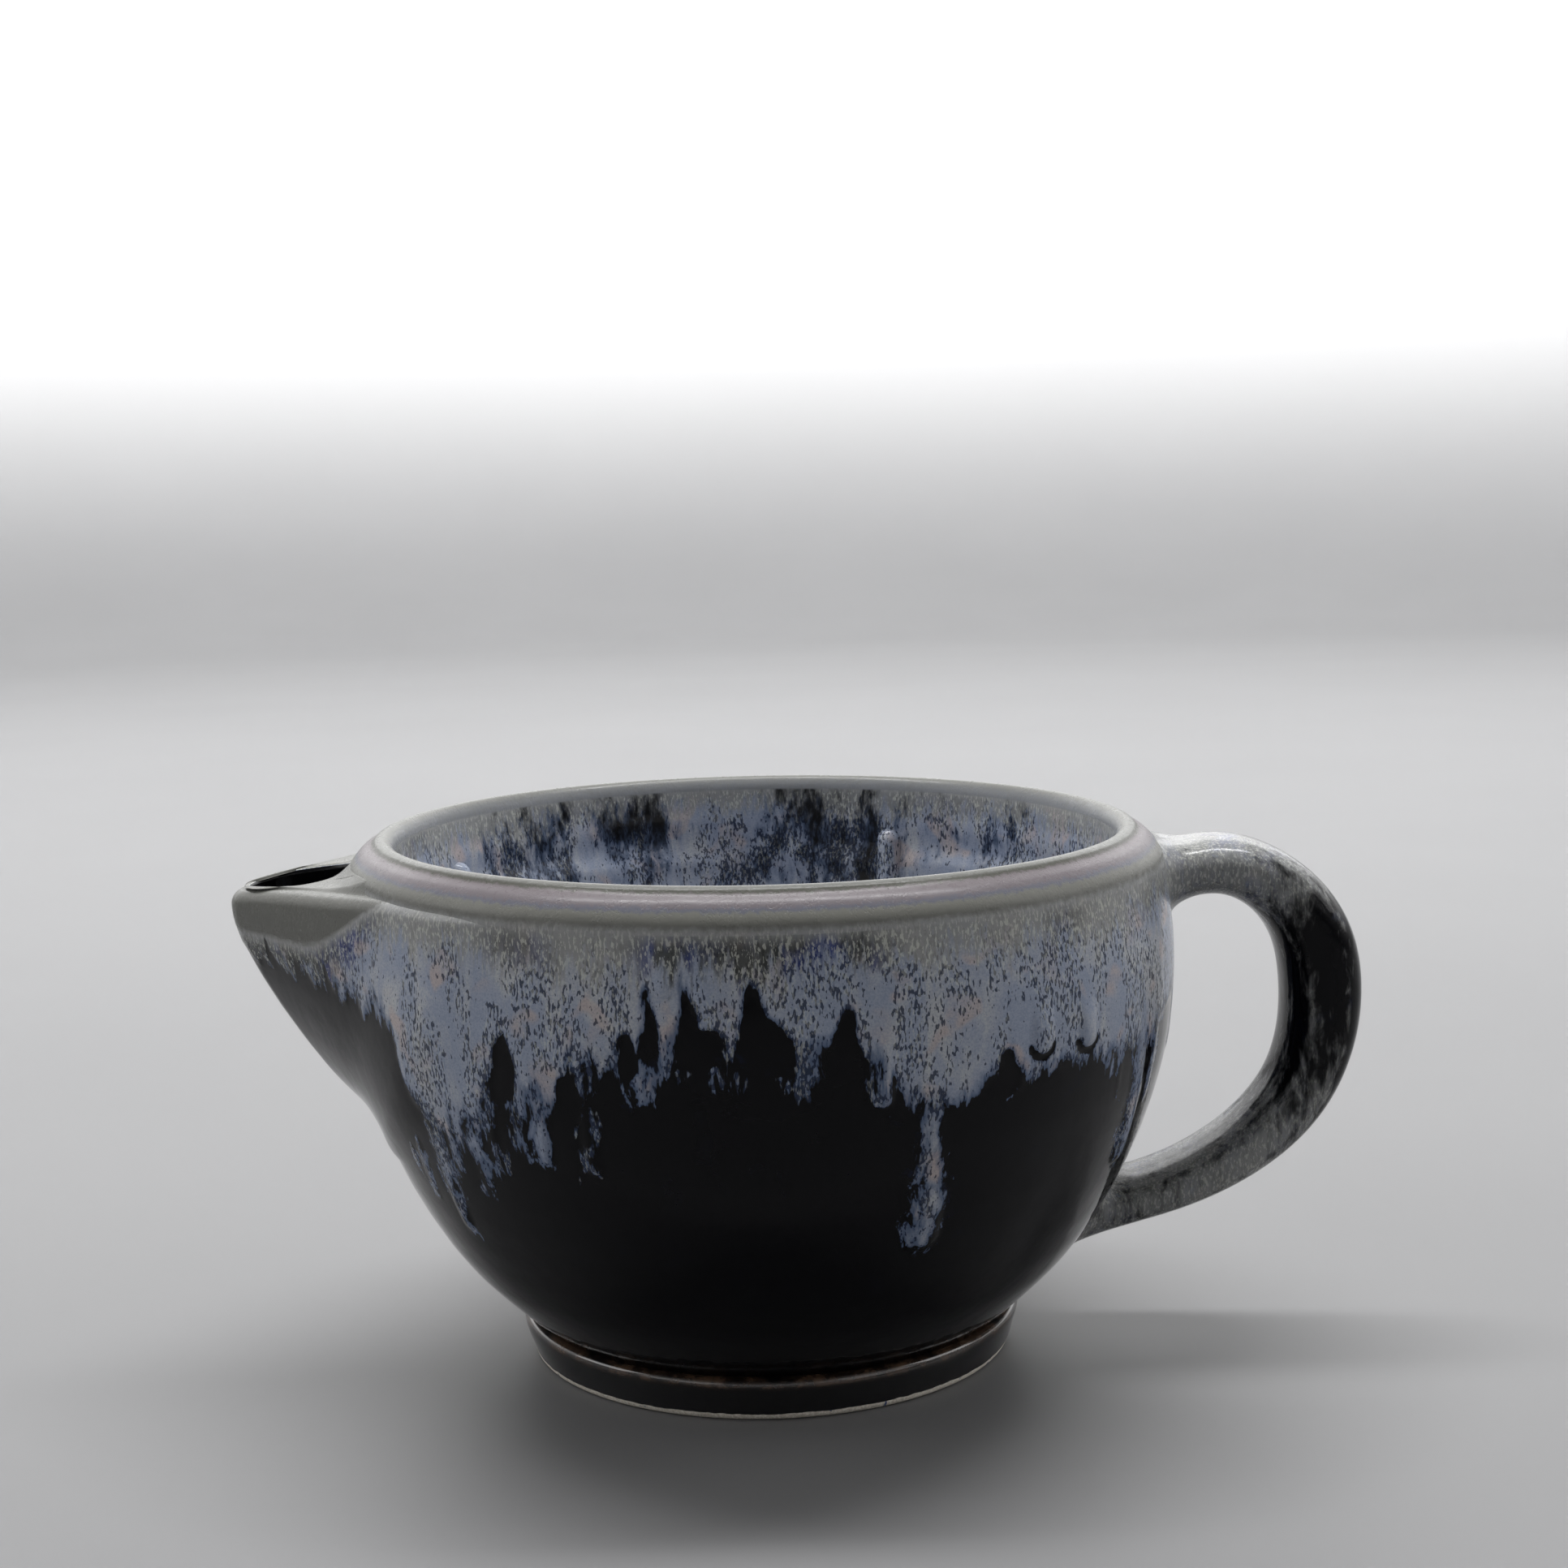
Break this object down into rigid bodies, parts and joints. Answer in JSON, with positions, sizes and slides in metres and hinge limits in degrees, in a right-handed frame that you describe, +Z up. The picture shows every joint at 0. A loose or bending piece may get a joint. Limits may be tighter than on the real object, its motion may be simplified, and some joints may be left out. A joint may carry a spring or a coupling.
{
  "type": "shaving mug",
  "caption": "Double-walled stoneware shaving mug with a hot-water jacket, a beak spout, a strap handle and a ridged inner bowl for lather.",
  "frame": {"origin": "on the bowls' common axis, in the plane that the foot ring stands on", "axes": "+Z up along the bowls' axis, +X towards the handle, -X towards the spout, +Y completes a right-handed frame"},
  "size_m": [0.195, 0.1408, 0.0915],
  "materials": {
    "outer_glaze": "glossy black glaze under a running grey-blue overglaze",
    "inner_glaze": "glossy speckled grey-blue glaze with dark patches",
    "foot_glaze": "glossy black glaze, wiped off the standing edge to bare cream stoneware"
  },
  "bodies": {
    "root": {"foot_ring": "foot_glaze", "outer_bowl": "outer_glaze", "spout": "outer_glaze", "spout_top": "outer_glaze", "handle": "outer_glaze", "inner_bowl": "inner_glaze", "lather_ridge_1": "inner_glaze", "lather_ridge_2": "inner_glaze", "lather_ridge_3": "inner_glaze", "lather_ridge_4": "inner_glaze"}
  },
  "joints": []
}
